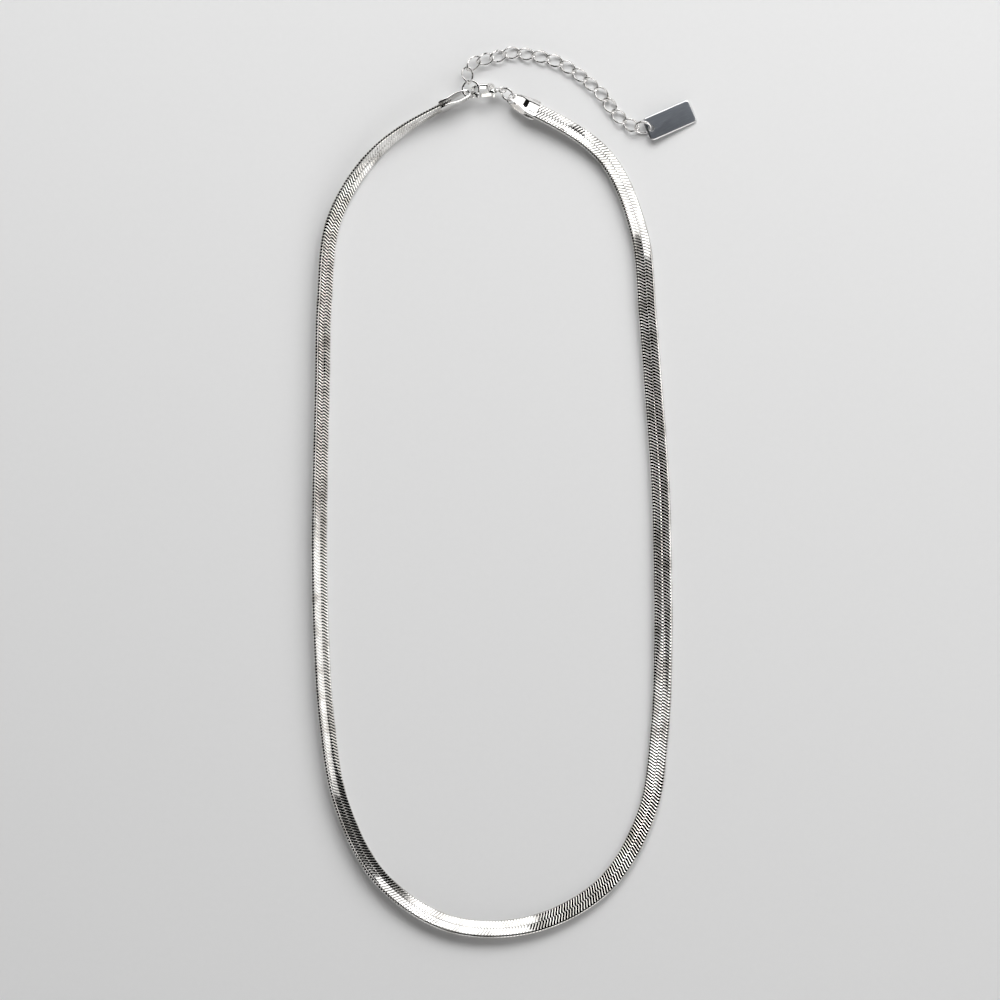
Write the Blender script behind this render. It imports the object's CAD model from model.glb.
import math
import bpy
from mathutils import Matrix, Vector


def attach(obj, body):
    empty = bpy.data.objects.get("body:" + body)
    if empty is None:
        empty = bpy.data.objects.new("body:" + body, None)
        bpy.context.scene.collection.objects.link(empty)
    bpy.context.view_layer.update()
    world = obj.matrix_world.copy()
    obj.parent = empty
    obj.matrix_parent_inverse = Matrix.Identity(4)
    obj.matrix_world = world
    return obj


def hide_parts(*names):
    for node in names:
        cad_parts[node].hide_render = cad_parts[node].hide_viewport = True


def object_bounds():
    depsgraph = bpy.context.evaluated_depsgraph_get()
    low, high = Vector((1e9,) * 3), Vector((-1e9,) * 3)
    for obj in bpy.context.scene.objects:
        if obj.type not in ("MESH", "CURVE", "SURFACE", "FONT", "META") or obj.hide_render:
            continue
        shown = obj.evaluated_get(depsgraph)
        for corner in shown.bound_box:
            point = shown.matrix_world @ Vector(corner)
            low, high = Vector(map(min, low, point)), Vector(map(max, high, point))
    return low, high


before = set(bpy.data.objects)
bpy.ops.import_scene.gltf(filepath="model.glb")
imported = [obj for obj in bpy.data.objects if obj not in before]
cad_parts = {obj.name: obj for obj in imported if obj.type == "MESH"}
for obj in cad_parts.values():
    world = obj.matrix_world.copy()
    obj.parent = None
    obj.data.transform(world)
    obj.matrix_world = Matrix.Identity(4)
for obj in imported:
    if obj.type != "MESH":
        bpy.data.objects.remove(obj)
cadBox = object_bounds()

# Pieces are modelled at 1 unit to a millimetre and shrunk to metres when they are put in place.
mm = 0.001
toMiddle = Vector((0.727, -0.172, 0.022))    # from the places given below to the frame's, in mm
drillLength = 3                              # mm, longer than any hole through clasp or tag


# Handy steps

def deselectAll():
    if bpy.context.object and bpy.context.object.mode != "OBJECT":
        bpy.ops.object.mode_set(mode="OBJECT")
    bpy.ops.object.select_all(action="DESELECT")


def pick(piece):
    deselectAll()
    piece.select_set(True)
    bpy.context.view_layer.objects.active = piece


def named(name):
    piece = bpy.context.object
    piece.name = name
    piece.data.name = name
    return piece


def editMode(piece, select="SELECT", kind="VERT"):
    pick(piece)
    bpy.ops.object.mode_set(mode="EDIT")
    bpy.ops.mesh.select_mode(type=kind)
    bpy.ops.mesh.select_all(action=select)


def objectMode():
    bpy.ops.object.mode_set(mode="OBJECT")


# Opens a piece for editing with only some of its vertices, edges or faces selected, given by number.
def selectOnly(piece, chosen, kind="VERT"):
    editMode(piece, "DESELECT", kind)
    objectMode()
    parts = {"VERT": piece.data.vertices, "EDGE": piece.data.edges, "FACE": piece.data.polygons}[kind]
    for i in chosen:
        parts[i].select = True
    bpy.ops.object.mode_set(mode="EDIT")


def applyModifiers(piece):
    pick(piece)
    for modifier in list(piece.modifiers):
        bpy.ops.object.modifier_apply(modifier=modifier.name)


def applyMove(piece):
    pick(piece)
    bpy.ops.object.transform_apply(location=True, rotation=True, scale=True)


def fixNormals(piece, merge=0.0005):
    editMode(piece)
    bpy.ops.mesh.remove_doubles(threshold=merge)
    bpy.ops.mesh.normals_make_consistent(inside=False)
    objectMode()


def smoothBelow(piece, degrees):
    pick(piece)
    bpy.ops.object.shade_smooth_by_angle(angle=math.radians(degrees))


def copyOf(piece, name):
    pick(piece)
    bpy.ops.object.duplicate()
    return named(name)


def bevelEdges(piece, width, segments=2, degrees=35):
    bevel = piece.modifiers.new("bevel", "BEVEL")
    bevel.width = width
    bevel.segments = segments
    bevel.limit_method = "ANGLE"
    bevel.angle_limit = math.radians(degrees)
    applyModifiers(piece)


# Cuts other from piece or fuses it on, and other is used up.
def combine(piece, other, how):
    step = piece.modifiers.new("combine", "BOOLEAN")
    step.operation = how
    step.solver = "EXACT"
    step.object = other
    applyModifiers(piece)
    bpy.data.objects.remove(other, do_unlink=True)


def flatOutline(name, points, thick):
    mesh = bpy.data.meshes.new(name)
    mesh.from_pydata([(x, y, -thick / 2) for x, y in points], [], [list(range(len(points)))])
    piece = bpy.data.objects.new(name, mesh)
    bpy.context.collection.objects.link(piece)
    editMode(piece)
    bpy.ops.mesh.extrude_region_move(TRANSFORM_OT_translate={"value": (0, 0, thick)})
    objectMode()
    fixNormals(piece)
    return piece


def disc(name, at, radius, thick, sides=40):
    deselectAll()
    bpy.ops.mesh.primitive_cylinder_add(vertices=sides, radius=radius, depth=thick, location=(*at, 0))
    piece = named(name)
    applyMove(piece)
    return piece


def drill(piece, at, radius, length=drillLength, sides=40):
    combine(piece, disc("drill", at, radius, length, sides), "DIFFERENCE")


# Where a piece lies: its origin in mm, then heading, climb and roll in degrees.
def placed(x, y, z, heading=0, climb=0, roll=0):
    turn = Matrix.Rotation(math.radians(heading), 4, "Z")
    turn = turn @ Matrix.Rotation(math.radians(-climb), 4, "Y")
    turn = turn @ Matrix.Rotation(math.radians(roll), 4, "X")
    return Matrix.Translation(Vector((x, y, z)) + toMiddle) @ turn


# Puts a finished piece in its place, with its material, body, slot and the nodes that it stands for.
def settle(piece, place, material, slot, *nodes, body="necklace"):
    pick(piece)
    piece.matrix_world = Matrix.Scale(mm, 4) @ place
    bpy.ops.object.transform_apply(location=True, rotation=True, scale=True)
    piece.data.materials.clear()
    piece.data.materials.append(material)
    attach(piece, body)
    if nodes:
        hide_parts(*nodes)


# Camera, floor and light

studio = {
    "viewMiddle": (-0.873, -1.672),    # mm, middle of the picture
    "viewWidth": 200,                  # mm across the picture
    "cameraHeight": 1200,
    "sensor": 36,
    "seesTo": 10000,
    "floorSize": 6000,
    "floorGap": 0.06,                  # mm from the floor up to the lowest node
    "roomGrey": 0.006,
    # A soft key light beyond the picture's top edge, and low panels for the metal to mirror.
    # Azimuth from +X and elevation are in degrees, distance and size in mm, power in watts.
    "panels": {
        "key": {"azimuth": 86, "elevation": 47, "distance": 820, "size": (700, 400), "power": 4.05,
                "mirrored": False},
        "stripRight": {"azimuth": 30, "elevation": 35, "distance": 1100, "size": (1150, 520), "power": 3.7},
        "stripTop": {"azimuth": 82, "elevation": 36, "distance": 1100, "size": (1100, 540), "power": 3.8},
        "stripCap": {"azimuth": 75, "elevation": 12, "distance": 1100, "size": (640, 330), "power": 1.2},
        "fill": {"azimuth": -88, "elevation": 26, "distance": 1300, "size": (1500, 1150), "power": 4.2},
        "card": {"azimuth": -67, "elevation": 12, "distance": 1300, "size": (880, 560), "power": 2.2,
                 "colour": (1, 0.98, 0.95)},
        "lowerRight": {"azimuth": -38, "elevation": 32, "distance": 1200, "size": (700, 450), "power": 0.9},
        "glint": {"azimuth": 0, "elevation": 20, "distance": 1300, "size": (500, 200), "power": 0.3},
        "sideCard": {"azimuth": 140, "elevation": 16, "distance": 1300, "size": (700, 400), "power": 0.7},
    },
}


def addCamera():
    deselectAll()
    bpy.ops.object.camera_add()
    camera = named("camera")
    camera.data.sensor_width = studio["sensor"]
    camera.data.lens = studio["sensor"] * studio["cameraHeight"] / studio["viewWidth"]
    camera.data.clip_end = studio["seesTo"] * mm
    camera.location = [side * mm for side in (*studio["viewMiddle"], studio["cameraHeight"])]
    bpy.context.scene.camera = camera
    bpy.context.scene.view_settings.view_transform = "Standard"


def aimAt(thing, azimuth, elevation, distance):
    a, e = math.radians(azimuth), math.radians(elevation)
    away = Vector((math.cos(a) * math.cos(e), math.sin(a) * math.cos(e), math.sin(e)))
    thing.location = away * distance * mm
    thing.rotation_euler = away.to_track_quat("Z", "Y").to_euler()


def addPanel(name, values):
    deselectAll()
    bpy.ops.object.light_add(type="AREA")
    panel = named(name)
    panel.data.shape = "RECTANGLE"
    panel.data.size, panel.data.size_y = (side * mm for side in values["size"])
    panel.data.energy = values["power"]
    panel.data.color = values.get("colour", (1, 1, 1))
    panel.visible_glossy = values.get("mirrored", True)
    aimAt(panel, values["azimuth"], values["elevation"], values["distance"])


def dimRoom():
    world = bpy.data.worlds.new("room")
    bpy.context.scene.world = world
    world.use_nodes = True
    world.node_tree.nodes["Background"].inputs["Color"].default_value = (*[studio["roomGrey"]] * 3, 1)


def layFloor():
    deselectAll()
    bpy.ops.mesh.primitive_plane_add(size=studio["floorSize"] * mm,
                                     location=(0, 0, cadBox[0][2] - studio["floorGap"] * mm))
    floor = named("floor")
    applyMove(floor)
    return floor


addCamera()
for panelName, panelValues in studio["panels"].items():
    addPanel(panelName, panelValues)
dimRoom()
floor = layFloor()
print("camera, light and floor are up")


# Shader groups

def newGroup(name, inputs, outputs):
    group = bpy.data.node_groups.new(name, "ShaderNodeTree")
    for label, kind, value in inputs:
        socket = group.interface.new_socket(label, in_out="INPUT", socket_type="NodeSocket" + kind)
        if value is not None:
            socket.default_value = value
    for label, kind in outputs:
        group.interface.new_socket(label, in_out="OUTPUT", socket_type="NodeSocket" + kind)
    return group, group.nodes.new("NodeGroupInput"), group.nodes.new("NodeGroupOutput")


# Values go to the node's own settings or else to its inputs, and links to its inputs.
def addNode(tree, kind, values=None, **links):
    node = tree.nodes.new("ShaderNode" + kind)
    for key, value in (values or {}).items():
        if isinstance(key, str) and hasattr(node, key):
            setattr(node, key, value)
        else:
            node.inputs[key].default_value = value
    for key, source in links.items():
        tree.links.new(source, node.inputs[key])
    return node


# Hair-fine rubbing marks: noise pulled out long two ways.
def buildRubbing():
    group, start, end = newGroup(
        "fineRubbing",
        [("Coordinates", "Vector", None), ("Size", "Float", 9000), ("Stretch", "Float", 14)],
        [("Height", "Float")],
    )
    both = addNode(group, "Math", {"operation": "MULTIPLY"})
    for layer, degrees in enumerate((25, 118)):
        turned = addNode(group, "Mapping", {"Rotation": (0, 0, math.radians(degrees))},
                         Vector=start.outputs["Coordinates"])
        stretch = addNode(group, "CombineXYZ", {"X": 1.0, "Z": 1.0}, Y=start.outputs["Stretch"])
        pulled = addNode(group, "VectorMath", {"operation": "MULTIPLY"})
        group.links.new(turned.outputs[0], pulled.inputs[0])
        group.links.new(stretch.outputs[0], pulled.inputs[1])
        noise = addNode(group, "TexNoise", {"Detail": 2.0, "Roughness": 0.6},
                        Vector=pulled.outputs[0], Scale=start.outputs["Size"])
        group.links.new(noise.outputs["Fac"], both.inputs[layer])
    group.links.new(both.outputs[0], end.inputs["Height"])
    return group


# Soft cloudy patches where the metal has dulled a little.
def buildDulling():
    group, start, end = newGroup(
        "softDulling",
        [("Coordinates", "Vector", None), ("Size", "Float", 400), ("Depth", "Float", 0),
         ("Clean", "Color", (0.9, 0.89, 0.87, 1)), ("Dulled", "Color", (0.6, 0.58, 0.55, 1)),
         ("Low", "Float", 0.08), ("High", "Float", 0.22)],
        [("Colour", "Color"), ("Roughness", "Float")],
    )
    noise = addNode(group, "TexNoise", {"Detail": 4.0, "Roughness": 0.55},
                    Vector=start.outputs["Coordinates"], Scale=start.outputs["Size"])
    cloud = addNode(group, "MapRange", {"From Min": 0.42, "From Max": 0.78}, Value=noise.outputs["Fac"])
    total = addNode(group, "Math", {"operation": "ADD", "use_clamp": True})
    group.links.new(cloud.outputs[0], total.inputs[0])
    group.links.new(start.outputs["Depth"], total.inputs[1])
    colour = addNode(group, "MixRGB", Fac=total.outputs[0],
                     Color1=start.outputs["Clean"], Color2=start.outputs["Dulled"])
    rough = addNode(group, "MapRange", Value=total.outputs[0])
    group.links.new(start.outputs["Low"], rough.inputs["To Min"])
    group.links.new(start.outputs["High"], rough.inputs["To Max"])
    group.links.new(colour.outputs[0], end.inputs["Colour"])
    group.links.new(rough.outputs[0], end.inputs["Roughness"])
    return group


rubbing = buildRubbing()
dulling = buildDulling()


# Metals

def newMaterial(name):
    material = bpy.data.materials.new(name)
    material.use_nodes = True
    tree = material.node_tree
    return material, tree, tree.nodes["Principled BSDF"]


def groupNode(tree, group, values, **links):
    node = tree.nodes.new("ShaderNodeGroup")
    node.node_tree = group
    for key, value in values.items():
        node.inputs[key].default_value = value
    for key, source in links.items():
        tree.links.new(source, node.inputs[key])
    return node


def dullingNode(tree, values, place):
    return groupNode(tree, dulling, {
        "Size": values["patchSize"], "Clean": (*values["clean"], 1), "Dulled": (*values["dulled"], 1),
        "Low": values["roughness"][0], "High": values["roughness"][1],
    }, Coordinates=place)


def joinMetal(tree, shader, dull, bump):
    tree.links.new(dull.outputs["Colour"], shader.inputs["Base Color"])
    tree.links.new(dull.outputs["Roughness"], shader.inputs["Roughness"])
    tree.links.new(bump.outputs["Normal"], shader.inputs["Normal"])
    shader.inputs["Metallic"].default_value = 1


def polishedMetal(name, values):
    material, tree, shader = newMaterial(name)
    place = tree.nodes.new("ShaderNodeTexCoord").outputs["Object"]
    dull = dullingNode(tree, values, place)
    rub = groupNode(tree, rubbing, {"Size": values["rubSize"], "Stretch": values["rubStretch"]},
                    Coordinates=place)
    bump = addNode(tree, "Bump", {"Strength": values["rubStrength"], "Distance": values["rubDepth"] * mm},
                   Height=rub.outputs["Height"])
    if "grooveDark" in values:
        groove = addNode(tree, "Attribute", {"attribute_name": "groove"})
        depth = addNode(tree, "Math", {"operation": "MULTIPLY", 1: values["grooveDark"]})
        tree.links.new(groove.outputs["Fac"], depth.inputs[0])
        tree.links.new(depth.outputs[0], dull.inputs["Depth"])
    joinMetal(tree, shader, dull, bump)
    return material


# Sizes of patches and rubbing are repeats to a metre, and the rubbing's depth is in mm.
metals = {
    "silverChain": {
        "clean": (0.93, 0.92, 0.9), "dulled": (0.48, 0.46, 0.43),
        "roughness": (0.03, 0.1), "patchSize": 260,
        "rubSize": 7000, "rubStretch": 9, "rubStrength": 0.15, "rubDepth": 0.003,
        "grooveDark": 0.9,       # how much duller the metal is down between the clips
    },
    "silverFindings": {
        "clean": (0.95, 0.94, 0.93), "dulled": (0.72, 0.7, 0.67),
        "roughness": (0.04, 0.13), "patchSize": 420,
        "rubSize": 6000, "rubStretch": 12, "rubStrength": 0.3, "rubDepth": 0.004,
    },
    "castSilver": {
        "clean": (0.95, 0.94, 0.93), "dulled": (0.7, 0.69, 0.66),
        "roughness": (0.03, 0.12), "patchSize": 380,
        "rubSize": 5000, "rubStretch": 10, "rubStrength": 0.35, "rubDepth": 0.005,
    },
    "stampedSilver": {
        "clean": (0.95, 0.94, 0.92), "dulled": (0.7, 0.68, 0.64),
        "roughness": (0.12, 0.26), "patchSize": 500,
        "rubSize": 6500, "rubStretch": 16, "rubStrength": 0.35, "rubDepth": 0.004,
    },
    "satinSilver": {
        "clean": (0.98, 0.98, 0.98), "dulled": (0.85, 0.85, 0.84),
        "roughness": (0.28, 0.4), "patchSize": 600,
        "rubSize": 6500, "rubStretch": 12, "rubStrength": 0.25, "rubDepth": 0.003,
    },
}
silver = {metalName: polishedMetal(metalName, metalValues) for metalName, metalValues in metals.items()}
print("metals are mixed")


# Floor: matt white paper with a faint tooth

paper = {"toothSize": 900, "tone": (0.8, 0.82), "roughness": 0.9, "gloss": 0.1}


def floorPaper():
    material, tree, shader = newMaterial("whitePaper")
    place = tree.nodes.new("ShaderNodeTexCoord").outputs["Object"]
    noise = addNode(tree, "TexNoise", {"Scale": paper["toothSize"], "Detail": 3.0}, Vector=place)
    tone = addNode(tree, "MapRange", {"To Min": paper["tone"][0], "To Max": paper["tone"][1]},
                   Value=noise.outputs["Fac"])
    grey = tone.outputs[0]
    colour = addNode(tree, "CombineColor", Red=grey, Green=grey, Blue=grey)
    tree.links.new(colour.outputs[0], shader.inputs["Base Color"])
    shader.inputs["Roughness"].default_value = paper["roughness"]
    shader.inputs["Specular IOR Level"].default_value = paper["gloss"]
    return material


floor.data.materials.append(floorPaper())


# Snake chain: two rows of slanted clips that meet at a seam and fold round the edges

chain = {
    "width": 3.9, "thick": 0.8,
    "sides": 12, "squareness": 0.55, "flatness": 0.8,    # of the flat oval that the clips make up
    "pitch": 0.62,
    "clipWidth": 0.97,            # share of the pitch that a clip fills
    "clipHeight": 0.2,
    "shoulder": (0.14, 0.075),    # how much of a clip's two upper corners is cut away, across and down
    "corners": 6,                 # of a clip's section: two below and two at each cut shoulder
    "seamEnd": 0.01,
    # the clip's way out from the seam: step across, step along the chain, step in height
    "steps": [
        (0.05, 0.01, 0.03), (0.49, 0.16, -0.01), (0.55, 0.35, -0.011), (0.42, 0.19, -0.009),
        (0.04, 0.01, 0),
    ],
    "edgeAt": 1.56, "edgeRadius": 0.37, "edgeTurns": 5,
    "edgeCrest": 1.25,            # how much a clip's top widens where it starts to fold
    "level": 0.001,               # corners closer than this in height are at the top together
    "smoothBelow": 41,
    "core": (3.5, 0.5), "coreSides": 12,
    "inCap": 1.9,                 # length of chain inside each cap
    "routeSteps": 48,             # straight stretches between two points of the route
}
leftCap = {"at": (-13.5, 76.8, 2.2), "heading": 27, "bank": 78}
rightCap = {"at": (5.9, 76.1, 1.95), "heading": 154.5, "bank": -38}

# x, y, bank in degrees (the outer edge raised, or the inner one if negative), lift
chainRoute = [
    (-26.0, 68.3, 54, 0), (-34.7, 54.6, 42, 0), (-36.7, 38.0, 40.6, 0), (-37.1, 21.2, 40.8, 0),
    (-37.5, 4.5, 40.6, 0), (-37.7, -12.2, 38.4, 0), (-37.3, -29.0, 37.4, 0), (-36.2, -45.6, 38, 0),
    (-33.3, -62.1, 39.5, 0), (-25.6, -76.9, 37.5, 0), (-11.9, -86.1, 33, 0), (4.7, -86.3, 25, 0),
    (19.3, -78.4, 14, 0), (27.7, -64.2, 5, 0), (30.3, -47.8, -3, 0), (31.0, -31.1, -9, 0),
    (30.9, -14.3, -11, 0), (30.4, 2.4, -11, 0), (29.2, 19.1, -12, 0), (27.9, 35.8, -16, 0),
    (26.1, 52.4, -21, 0), (19.1, 67.4, -28, 0.1),
]


# How high the band's middle lies when its lower edge touches the surface.
def restHeight(bank):
    tilt = math.radians(bank)
    lowest = 0
    for i in range(chain["sides"]):
        a = math.tau * i / chain["sides"]
        c, s = math.cos(a), math.sin(a)
        across = chain["width"] / 2 * math.copysign(abs(c) ** chain["squareness"], c)
        up = chain["thick"] / 2 * math.copysign(abs(s) ** chain["flatness"], s)
        lowest = min(lowest, across * math.sin(tilt) + up * math.cos(tilt))
    return -lowest


def chainEnd(cap):
    x, y, z = cap["at"]
    a = math.radians(cap["heading"])
    point = Vector((x + chain["inCap"] * math.cos(a), y + chain["inCap"] * math.sin(a), z))
    return point, math.radians(cap["bank"])


# A point past the chain's end, so that the chain leaves its cap straight.
def beyondEnd(cap, nearest):
    a = math.radians(cap["heading"])
    far = 2 * math.hypot(nearest[0].x - cap["at"][0], nearest[0].y - cap["at"][1])
    return nearest[0] + far * Vector((math.cos(a), math.sin(a), 0)), nearest[1]


# One smooth curve, which at each point heads from the point before to the point after.
def layRoute():
    knots = []
    for x, y, bank, lift in chainRoute:
        knots.append((Vector((x, y, restHeight(bank) + lift)), math.radians(bank)))
    rows = [chainEnd(leftCap), *knots, chainEnd(rightCap)]
    rows = [beyondEnd(leftCap, knots[0]), *rows, beyondEnd(rightCap, knots[-1])]
    data = bpy.data.curves.new("route", "CURVE")
    data.dimensions = "3D"
    data.twist_mode = "Z_UP"
    data.resolution_u = chain["routeSteps"]
    spline = data.splines.new("BEZIER")
    spline.bezier_points.add(len(rows) - 3)
    spline.tilt_interpolation = "CARDINAL"
    for i, point in enumerate(spline.bezier_points):
        before, here, after = rows[i][0], rows[i + 1][0], rows[i + 2][0]
        point.co = here + toMiddle
        point.handle_left_type = point.handle_right_type = "FREE"
        point.handle_left = here + toMiddle - (after - before) / 6
        point.handle_right = here + toMiddle + (after - before) / 6
        point.tilt = -rows[i + 1][1]
    route = bpy.data.objects.new("route", data)
    bpy.context.collection.objects.link(route)
    return route, spline.calc_length()


def modelClip():
    width, height = chain["pitch"] * chain["clipWidth"], chain["clipHeight"]
    cutAcross, cutDown = chain["shoulder"]
    squash = cutDown / cutAcross      # the corners are cut evenly on a tall section, which is then squashed
    top = chain["edgeRadius"] - sum(step[2] for step in chain["steps"])
    deselectAll()
    bpy.ops.mesh.primitive_plane_add(size=1, rotation=(math.pi / 2, 0, 0))
    clip = named("clip")
    clip.scale = (width, height / squash, 1)
    applyMove(clip)
    selectOnly(clip, [vertex.index for vertex in clip.data.vertices if vertex.co.z > 0])
    bpy.ops.mesh.bevel(offset=cutAcross, segments=1, affect="VERTICES")
    bpy.ops.mesh.select_all(action="SELECT")
    bpy.ops.transform.resize(value=(1, 1, squash))
    bpy.ops.transform.translate(value=(0, chain["seamEnd"], top - height / 2))
    for across, along, up in chain["steps"]:
        bpy.ops.mesh.extrude_region_move(TRANSFORM_OT_translate={"value": (along, across, up)})
    return clip


# The top of a clip widens where it starts to fold round the edge.
def widenCrest(clip):
    objectMode()
    end = [vertex.index for vertex in clip.data.vertices if vertex.select]
    top = max(clip.data.vertices[i].co.z for i in end)
    crest = [i for i in end if clip.data.vertices[i].co.z > top - chain["level"]]
    middle = sum((clip.data.vertices[i].co for i in crest), Vector()) / len(crest)
    selectOnly(clip, crest)
    bpy.ops.transform.resize(value=(chain["edgeCrest"], 1, 1), center_override=middle)
    selectOnly(clip, end)


# The clip's end turns over round the chain's edge and runs back underneath to the seam.
def foldClip():
    for turn in range(chain["edgeTurns"]):
        bpy.ops.mesh.extrude_region_move()
        bpy.ops.transform.rotate(value=math.pi / chain["edgeTurns"], orient_axis="X",
                                 center_override=(0, chain["edgeAt"], 0))
    across = sum(step[0] for step in chain["steps"])
    along = sum(step[1] for step in chain["steps"])
    bpy.ops.mesh.extrude_region_move(TRANSFORM_OT_translate={"value": (-along, -across, 0)})
    objectMode()


# How deep each point lies between the clips: 1 at a clip's underside, 0 at its top.
def markGroove(clip):
    groove = clip.data.attributes.new("groove", "FLOAT", "POINT")
    top = chain["edgeRadius"]
    bottom = top - chain["clipHeight"]
    for vertex in clip.data.vertices:
        reach = math.hypot(max(abs(vertex.co.y) - chain["edgeAt"], 0), vertex.co.z)
        groove.data[vertex.index].value = min(max((top - reach) / (top - bottom), 0), 1)


# A clip's long edges and the end of its first step stay crisp, and the rest of it bends smoothly.
def crispEdges(clip):
    crisp = []
    for edge in clip.data.edges:
        start, end = (i // chain["corners"] for i in edge.vertices)
        if start != end or start == 1:
            crisp.append(edge.index)
    selectOnly(clip, crisp, "EDGE")
    bpy.ops.mesh.mark_sharp()
    objectMode()


def makeClip():
    clip = modelClip()
    widenCrest(clip)
    foldClip()
    fixNormals(clip)
    markGroove(clip)
    smoothBelow(clip, chain["smoothBelow"])
    crispEdges(clip)
    return clip


# One clip's length of the flat core that shows between the clips.
def makeCore(step):
    deselectAll()
    bpy.ops.mesh.primitive_cylinder_add(vertices=chain["coreSides"], radius=0.5, depth=step,
                                        end_fill_type="NOTHING", rotation=(0, math.pi / 2, 0))
    core = named("chainCore")
    applyMove(core)
    core.scale = (1, *chain["core"])
    applyMove(core)
    groove = core.data.attributes.new("groove", "FLOAT", "POINT")
    for point in groove.data:
        point.value = 1
    return core


def runAlong(route, piece, count, step):
    row = piece.modifiers.new("row", "ARRAY")
    row.count = count
    row.use_relative_offset = False
    row.use_constant_offset = True
    row.constant_offset_displace = (step, 0, 0)
    bend = piece.modifiers.new("bend", "CURVE")
    bend.object = route
    applyModifiers(piece)


def makeChain():
    route, length = layRoute()
    count = round(length / chain["pitch"])
    step = length / count
    inner = makeClip()
    inner.name = inner.data.name = "chainInnerClips"
    outer = copyOf(inner, "chainOuterClips")
    outer.rotation_euler = (0, 0, math.pi)
    outer.location = (step / 2, 0, 0)
    applyMove(outer)
    core = makeCore(step)
    for piece in (inner, outer, core):
        runAlong(route, piece, count, step)
        settle(piece, Matrix.Identity(4), silver["silverChain"], "chain")
    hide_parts("snake_chain")
    bpy.data.objects.remove(route, do_unlink=True)
    print("chain is laid,", round(length, 1), "mm long with", count, "clips in each row")


makeChain()


# Rings

rings = {
    "wire": 0.5, "wireSides": 14, "bends": 72,
    "cut": 1.2,              # degrees that the butted ends stand apart
    "endBevel": 0.03,
    "smoothBelow": 40,
    "pieces": {
        "hookRing": {"node": "hook_ring", "size": 3.8, "cutAt": 200,
                     "place": placed(-7.43, 80.55, 2.29, 74.3, 0, -8.3)},
        "claspRing": {"node": "clasp_ring", "size": 3.4, "cutAt": 60,
                      "place": placed(-0.12, 79.47, 2.13, -42.7, 0, 51.1)},
        "tagRing": {"node": "tag_ring", "size": 3.6, "cutAt": 120,
                    "place": placed(26.99, 72.94, 1.46, -1.4, 0, 49.4)},
    },
}


def bendRing(name, values):
    middle = (values["size"] - rings["wire"]) / 2
    deselectAll()
    bpy.ops.mesh.primitive_circle_add(vertices=rings["wireSides"], radius=rings["wire"] / 2,
                                      fill_type="NGON", location=(middle, 0, 0),
                                      rotation=(math.pi / 2, 0, 0))
    ring = named(name)
    applyMove(ring)
    editMode(ring)
    bpy.ops.mesh.spin(steps=rings["bends"], angle=math.radians(360 - rings["cut"]),
                      center=(0, 0, 0), axis=(0, 0, 1))
    objectMode()
    fixNormals(ring)
    selectOnly(ring, [face.index for face in ring.data.polygons if len(face.vertices) > 4], "FACE")
    bpy.ops.mesh.bevel(offset=rings["endBevel"], segments=2)
    objectMode()
    ring.rotation_euler = (0, 0, math.radians(values["cutAt"]))
    applyMove(ring)
    smoothBelow(ring, rings["smoothBelow"])
    settle(ring, values["place"], silver["silverFindings"], "findings", values["node"])


for ringName, ringValues in rings["pieces"].items():
    bendRing(ringName, ringValues)
print("rings are bent")


# Extender links

links = {
    "length": 3.94, "width": 2.66, "wire": 0.42, "wireSteps": 4,
    "twist": 45, "bends": 44,
    "merge": 0.0001,
    "smoothBelow": 60,
    # x, y, z, heading, climb, roll
    "places": [
        (-8.09, 83.22, 1.97, 97.2, -11.7, 25.2), (-6.95, 85.65, 1.62, 50.5, -7.2, 16.1),
        (-4.61, 86.54, 1.32, 19.8, -9.4, 19.5), (-1.93, 87.23, 0.88, 17.9, -7.5, 1.3),
        (0.80, 87.90, 0.71, 4.1, -2.6, 0.2), (3.65, 87.63, 0.67, -8.0, -0.4, 0.1),
        (6.54, 87.10, 0.66, -12.7, -0.1, 0.1), (9.35, 86.30, 0.67, -21.0, -0.5, 0.2),
        (11.98, 85.01, 0.66, -30.1, -0.1, 0.1), (14.40, 83.40, 0.66, -36.5, 0.0, 0.0),
        (16.60, 81.60, 0.66, -41.5, 0.0, 0.0), (18.70, 79.60, 0.66, -48.5, 0.0, 0.0),
        (20.40, 77.30, 0.66, -52.1, 0.0, 0.0), (22.20, 75.10, 0.66, -43.6, 0.0, 0.0),
        (24.54, 73.38, 0.96, -29.7, 11.3, 5.5),
    ],
}


# An oval of round wire, twisted so that it lies flat with its neighbours through it.
def twistLink():
    a, b = (links["length"] - links["wire"]) / 2, (links["width"] - links["wire"]) / 2
    data = bpy.data.curves.new("link", "CURVE")
    data.dimensions = "3D"
    data.bevel_depth = links["wire"] / 2
    data.bevel_resolution = links["wireSteps"]
    data.twist_mode = "MINIMUM"
    spline = data.splines.new("POLY")
    spline.points.add(links["bends"] - 1)
    spline.use_cyclic_u = True
    for i, point in enumerate(spline.points):
        u = math.tau * i / links["bends"]
        turn = -math.radians(links["twist"]) * math.cos(u)
        x, y, z = a * math.cos(u), b * math.sin(u) * math.cos(turn), b * math.sin(u) * math.sin(turn)
        point.co = (x, y, z, 1)
    link = bpy.data.objects.new("link", data)
    bpy.context.collection.objects.link(link)
    pick(link)
    bpy.ops.object.convert(target="MESH")
    link = named("link")
    fixNormals(link, links["merge"])
    smoothBelow(link, links["smoothBelow"])
    return link


def linkExtender():
    first = twistLink()
    for number, place in enumerate(links["places"], 1):
        link = copyOf(first, f"extenderLink{number:02d}")
        settle(link, placed(*place), silver["silverFindings"], "findings", f"extender_link_{number:02d}")
    bpy.data.objects.remove(first, do_unlink=True)


linkExtender()
print("extender is linked")


# End caps: one sheet folded over the chain's end, narrowing to a drilled fold

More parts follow.
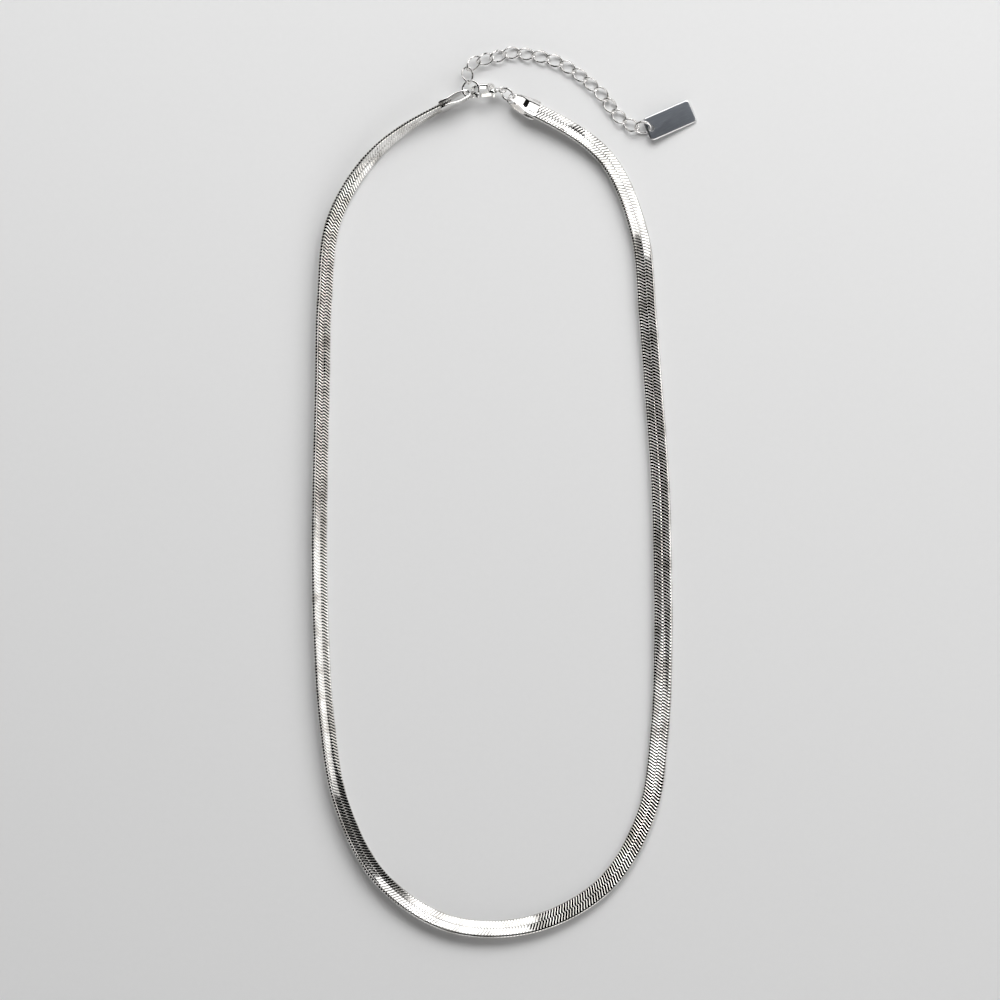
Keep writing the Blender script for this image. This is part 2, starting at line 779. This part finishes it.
cap = {
    "length": 6.6, "sheet": 0.25, "across": 10,
    # from the mouth: distance, half height, full width
    "stations": [
        (0.0, 0.73, 3.5), (0.08, 0.73, 3.8), (0.3, 0.73, 4.1), (1.0, 0.73, 4.1), (1.575, 0.73, 4.1),
        (2.1, 0.73, 3.83), (2.4, 0.77, 3.67), (2.8, 0.85, 3.46), (3.3, 0.92, 3.2), (3.9, 0.95, 2.89),
        (4.5, 0.92, 2.57), (5.1, 0.83, 2.26), (5.6, 0.74, 2.0), (5.9, 0.7, 1.7),
    ],
    "lip": 0.01,             # length of the strip that the sheet is drawn from
    "noseWidth": 1.0, "foldTurns": 10,
    "crown": 0.14,           # how much the sheet swells between its two long edges
    "holeBack": 0.85, "holeRadius": 0.68, "holeThrough": 4,
    "bevel": 0.05, "smoothBelow": 42,
    "places": {
        "capLeft": ("end_cap_left", leftCap),
        "capRight": ("end_cap_right", rightCap),
    },
}


def stretchRow(width, before):
    bpy.ops.transform.resize(value=(1, width / before, 1))


def startSheet():
    distance, half, width = cap["stations"][0]
    deselectAll()
    bpy.ops.mesh.primitive_grid_add(x_subdivisions=1, y_subdivisions=cap["across"], size=1)
    sheet = named("cap")
    sheet.scale = (cap["lip"], width, 1)
    sheet.location = (distance - cap["lip"] / 2, 0, -half)
    applyMove(sheet)
    ahead = [vertex.co.x > distance - cap["lip"] / 2 for vertex in sheet.data.vertices]
    front = [edge.index for edge in sheet.data.edges if all(ahead[i] for i in edge.vertices)]
    selectOnly(sheet, front, "EDGE")
    return sheet


# Draws the sheet out from one station to the next, below the chain (side -1) or above it (side 1).
def drawSheet(stations, side):
    for before, here in zip(stations, stations[1:]):
        move = (here[0] - before[0], 0, side * (here[1] - before[1]))
        bpy.ops.mesh.extrude_region_move(TRANSFORM_OT_translate={"value": move})
        stretchRow(here[2], before[2])


def foldNose():
    foldAt, _, foldWidth = cap["stations"][-1]
    width = foldWidth
    for turn in range(1, cap["foldTurns"] + 1):
        bpy.ops.mesh.extrude_region_move()
        bpy.ops.transform.rotate(value=math.pi / cap["foldTurns"], orient_axis="Y",
                                 center_override=(foldAt, 0, 0))
        reach = math.sin(math.pi * turn / cap["foldTurns"])
        wanted = foldWidth + (cap["noseWidth"] - foldWidth) * reach
        stretchRow(wanted, width)
        width = wanted


def crownSheet(sheet):
    mouthWidth = cap["stations"][0][2]
    for vertex in sheet.data.vertices:
        side = min(abs(vertex.co.y) * 2 / mouthWidth, 1)
        vertex.co.z += math.copysign(cap["crown"] * (1 - side ** 2), vertex.co.z)


def foldCap():
    sheet = startSheet()
    drawSheet(cap["stations"], -1)
    foldNose()
    drawSheet(cap["stations"][::-1], 1)
    objectMode()
    fixNormals(sheet)
    crownSheet(sheet)
    wall = sheet.modifiers.new("wall", "SOLIDIFY")
    wall.thickness = cap["sheet"]
    wall.offset = -1
    wall.use_even_offset = True
    applyModifiers(sheet)
    drill(sheet, (cap["length"] - cap["holeBack"], 0), cap["holeRadius"], cap["holeThrough"])
    bevelEdges(sheet, cap["bevel"])
    smoothBelow(sheet, cap["smoothBelow"])
    return sheet


def fitCaps():
    first = foldCap()
    for name, (node, end) in cap["places"].items():
        place = placed(*end["at"], end["heading"], 0, abs(end["bank"]))
        settle(copyOf(first, name), place, silver["silverFindings"], "findings", node)
    bpy.data.objects.remove(first, do_unlink=True)


fitCaps()
print("caps are folded")


# Lobster clasp: casting, lever and pin, all in the clasp's own place

clasp = {
    "place": placed(-1.15, 80.4, 2.07, 184.1, 7.5, 49.2),
    "width": 3.9, "hookWire": 0.8, "hookDepth": 1.2, "bodyDepth": 1.8,
    "hookRounding": 0.42,                  # of the hook's corners, as a share of its wire
    "hookSegments": 5,
    "crownAt": 4.4, "hookStart": 1.8, "tipAngle": 74, "hookTurns": 30,
    "eyeRadius": 0.75, "eyeWire": 0.5, "eyeSides": 18, "eyeBends": 40,
    "bodyAt": 2.15, "shoulders": (-0.9, 0.6), "bodySides": 32, "bodyRings": 24,
    "neck": (0.85, 2.15, 0.42, 0.85),      # from, to, and the radius at each
    "pivot": (1.95, 0.4), "boreGap": 0.02,
    "slotRadius": 0.62, "slotLength": 2.6, "slotSides": (-0.35, 2.65),
    "grain": 0.05, "rounds": 5,            # the casting's finest detail, and how often it is smoothed
}
lever = {
    "thick": 0.8, "gap": 0.1,
    "noseReach": 2.57, "noseAngle": 21.5, "noseRadius": 0.22,
    "tabAt": (1.95, 1.45), "tabRadius": 0.4,
    "heelRadius": 0.5, "boreGap": 0.05,
    # corners of the arm from the pivot: under the heel, at the tab's foot, and behind the heel
    "under": (0.1, -0.48), "foot": (0.5, 0.95), "behind": (-0.3, 0.4),
    "grain": 0.04, "rounds": 4,
}
pin = {"radius": 0.25, "length": 1.6, "sides": 28, "bevel": 0.06, "smoothBelow": 40}


def fused(name, first, *others):
    for other in others:
        combine(first, other, "UNION")
    first.name = first.data.name = name
    return first


# Gives a sharp-edged piece the soft edges of a casting.
def softened(piece, values):
    cast = piece.modifiers.new("cast", "REMESH")
    cast.mode = "VOXEL"
    cast.voxel_size = values["grain"]
    smooth = piece.modifiers.new("smooth", "SMOOTH")
    smooth.iterations = values["rounds"]
    smooth.factor = 0.5
    applyModifiers(piece)
    smoothBelow(piece, 80)


def claspEye():
    deselectAll()
    bpy.ops.mesh.primitive_circle_add(vertices=clasp["eyeSides"], radius=clasp["eyeWire"] / 2,
                                      fill_type="NOTHING", location=(clasp["eyeRadius"], 0, 0),
                                      rotation=(math.pi / 2, 0, 0))
    eye = named("eye")
    applyMove(eye)
    editMode(eye)
    bpy.ops.mesh.spin(steps=clasp["eyeBends"], angle=math.tau, center=(0, 0, 0), axis=(0, 0, 1))
    objectMode()
    fixNormals(eye)
    return eye


def claspShoulders():
    deselectAll()
    bpy.ops.mesh.primitive_uv_sphere_add(segments=clasp["bodySides"], ring_count=clasp["bodyRings"],
                                         radius=clasp["bodyDepth"] / 2, rotation=(math.pi / 2, 0, 0))
    bar = named("shoulders")
    applyMove(bar)
    for vertex in bar.data.vertices:
        vertex.co.y += clasp["shoulders"][1] if vertex.co.y > 0 else clasp["shoulders"][0]
        vertex.co.x += clasp["bodyAt"]
    return bar


def claspNeck():
    start, end, thin, thick = clasp["neck"]
    deselectAll()
    bpy.ops.mesh.primitive_cone_add(vertices=clasp["bodySides"], radius1=thin, radius2=thick,
                                    depth=end - start, rotation=(0, math.pi / 2, 0),
                                    location=((start + end) / 2, 0, 0))
    neck = named("neck")
    applyMove(neck)
    return neck


def claspHook():
    radius = (clasp["width"] - clasp["hookWire"]) / 2
    deselectAll()
    bpy.ops.mesh.primitive_plane_add(size=1, rotation=(0, math.pi / 2, 0))
    hook = named("hook")
    hook.scale = (clasp["hookDepth"], clasp["hookWire"], 1)
    hook.location = (clasp["hookStart"], -radius, 0)
    applyMove(hook)
    editMode(hook)
    bpy.ops.mesh.bevel(offset=clasp["hookWire"] * clasp["hookRounding"],
                       segments=clasp["hookSegments"], affect="VERTICES")
    bpy.ops.mesh.select_all(action="SELECT")
    straight = clasp["crownAt"] - clasp["hookStart"]
    bpy.ops.mesh.extrude_region_move(TRANSFORM_OT_translate={"value": (straight, 0, 0)})
    bend = math.radians(90 + clasp["tipAngle"])
    for turn in range(clasp["hookTurns"]):
        bpy.ops.mesh.extrude_region_move()
        bpy.ops.transform.rotate(value=-bend / clasp["hookTurns"], orient_axis="Z",
                                 center_override=(clasp["crownAt"], 0, 0))
    objectMode()
    fixNormals(hook)
    return hook


def leverWindow(slot):
    left = clasp["pivot"][0] - clasp["slotRadius"]
    right = left + clasp["slotLength"]
    low, high = clasp["slotSides"]
    return flatOutline("window", [(left, low), (right, low), (right, high), (left, high)], slot)


def castBody():
    slot = lever["thick"] + 2 * lever["gap"]
    body = fused("claspBody", claspShoulders(), claspNeck(), claspEye(), claspHook())
    combine(body, leverWindow(slot), "DIFFERENCE")
    drill(body, clasp["pivot"], clasp["slotRadius"], slot)
    drill(body, clasp["pivot"], pin["radius"] + clasp["boreGap"])
    softened(body, clasp)
    settle(body, clasp["place"], silver["castSilver"], "clasp", "clasp_body")


def stampLever():
    x, y = clasp["pivot"]
    a = math.radians(lever["noseAngle"])
    nose = (x + lever["noseReach"] * math.cos(a), y + lever["noseReach"] * math.sin(a))
    thick, small = lever["thick"], lever["noseRadius"]
    corners = (lever["under"], lever["foot"], lever["behind"])
    under, foot, behind = ((x + right, y + up) for right, up in corners)
    noseEnd = [(nose[0], nose[1] - small), (nose[0], nose[1] + small)]
    piece = fused("claspLever",
                  flatOutline("arm", [under, *noseEnd, foot, behind], thick),
                  disc("heel", clasp["pivot"], lever["heelRadius"], thick),
                  disc("nose", nose, small, thick),
                  disc("tab", lever["tabAt"], lever["tabRadius"], thick))
    drill(piece, clasp["pivot"], pin["radius"] + lever["boreGap"])
    softened(piece, lever)
    settle(piece, clasp["place"], silver["stampedSilver"], "clasp", "clasp_lever", body="lever")


def setPin():
    piece = disc("claspPin", clasp["pivot"], pin["radius"], pin["length"], pin["sides"])
    bevelEdges(piece, pin["bevel"], 3)
    smoothBelow(piece, pin["smoothBelow"])
    settle(piece, clasp["place"], silver["stampedSilver"], "clasp", "clasp_pin")


castBody()
stampLever()
setPin()
print("clasp is cast")


# Tag: a plain brushed plate with bright bevelled edges

tag = {
    "place": placed(32.33, 74.41, 0.82, 23.9, -6.6),
    "length": 10.2, "width": 4.8, "thick": 0.45, "corner": 0.8, "cornerSegments": 8,
    "holeIn": 1, "holeRadius": 0.68, "holeSides": 48,
    "rim": (0.24, 0.12),     # the bright sloping edge, across and down
    "bevel": 0.04, "bevelAbove": 20, "smoothBelow": 18,
    "flat": 0.98,            # faces that look up or down at least this squarely are brushed
    "clean": (0.33, 0.355, 0.4), "dulled": (0.41, 0.435, 0.475),
    "roughness": (0.46, 0.52), "patchSize": 5000,
    "grainSize": 9000, "grainStretch": 0.1, "grainStrength": 0.5, "grainDepth": 0.008,
}


# The grain runs along the plate, so the pattern is centred and turned as the plate is.
def brushedFace():
    material, tree, shader = newMaterial("brushedTag")
    place = tree.nodes.new("ShaderNodeTexCoord").outputs["Object"]
    middle = tag["place"].to_translation() * mm
    turned = addNode(tree, "Mapping", {"vector_type": "TEXTURE", "Location": middle,
                                       "Rotation": tag["place"].to_euler()}, Vector=place)
    pulled = addNode(tree, "Mapping", {"Scale": (tag["grainStretch"], 1, 1)}, Vector=turned.outputs[0])
    grain = addNode(tree, "TexNoise", {"Scale": tag["grainSize"], "Detail": 3.0}, Vector=pulled.outputs[0])
    bump = addNode(tree, "Bump", {"Strength": tag["grainStrength"], "Distance": tag["grainDepth"] * mm},
                   Height=grain.outputs["Fac"])
    joinMetal(tree, shader, dullingNode(tree, tag, pulled.outputs[0]), bump)
    return material


def pressTag():
    length, width, thick = tag["length"], tag["width"], tag["thick"]
    rimAcross, rimDown = tag["rim"]
    deselectAll()
    bpy.ops.mesh.primitive_plane_add(size=1)
    plate = named("endTag")
    plate.scale = (length, width, 1)
    plate.location = (0, 0, -thick / 2)
    applyMove(plate)
    editMode(plate)
    bpy.ops.mesh.bevel(offset=tag["corner"], segments=tag["cornerSegments"], affect="VERTICES")
    bpy.ops.mesh.select_all(action="SELECT")
    bpy.ops.mesh.extrude_region_move(TRANSFORM_OT_translate={"value": (0, 0, thick - rimDown)})
    bpy.ops.mesh.inset(thickness=rimAcross, depth=rimDown)
    objectMode()
    fixNormals(plate)
    drill(plate, (tag["holeIn"] - length / 2, 0), tag["holeRadius"], sides=tag["holeSides"])
    bevelEdges(plate, tag["bevel"], 2, tag["bevelAbove"])
    smoothBelow(plate, tag["smoothBelow"])
    settle(plate, tag["place"], brushedFace(), "tag", "tag")
    plate.data.materials.append(silver["satinSilver"])
    up = tag["place"].to_3x3() @ Vector((0, 0, 1))
    for face in plate.data.polygons:
        face.material_index = 0 if abs(face.normal.dot(up)) > tag["flat"] else 1


pressTag()
print("tag is pressed")
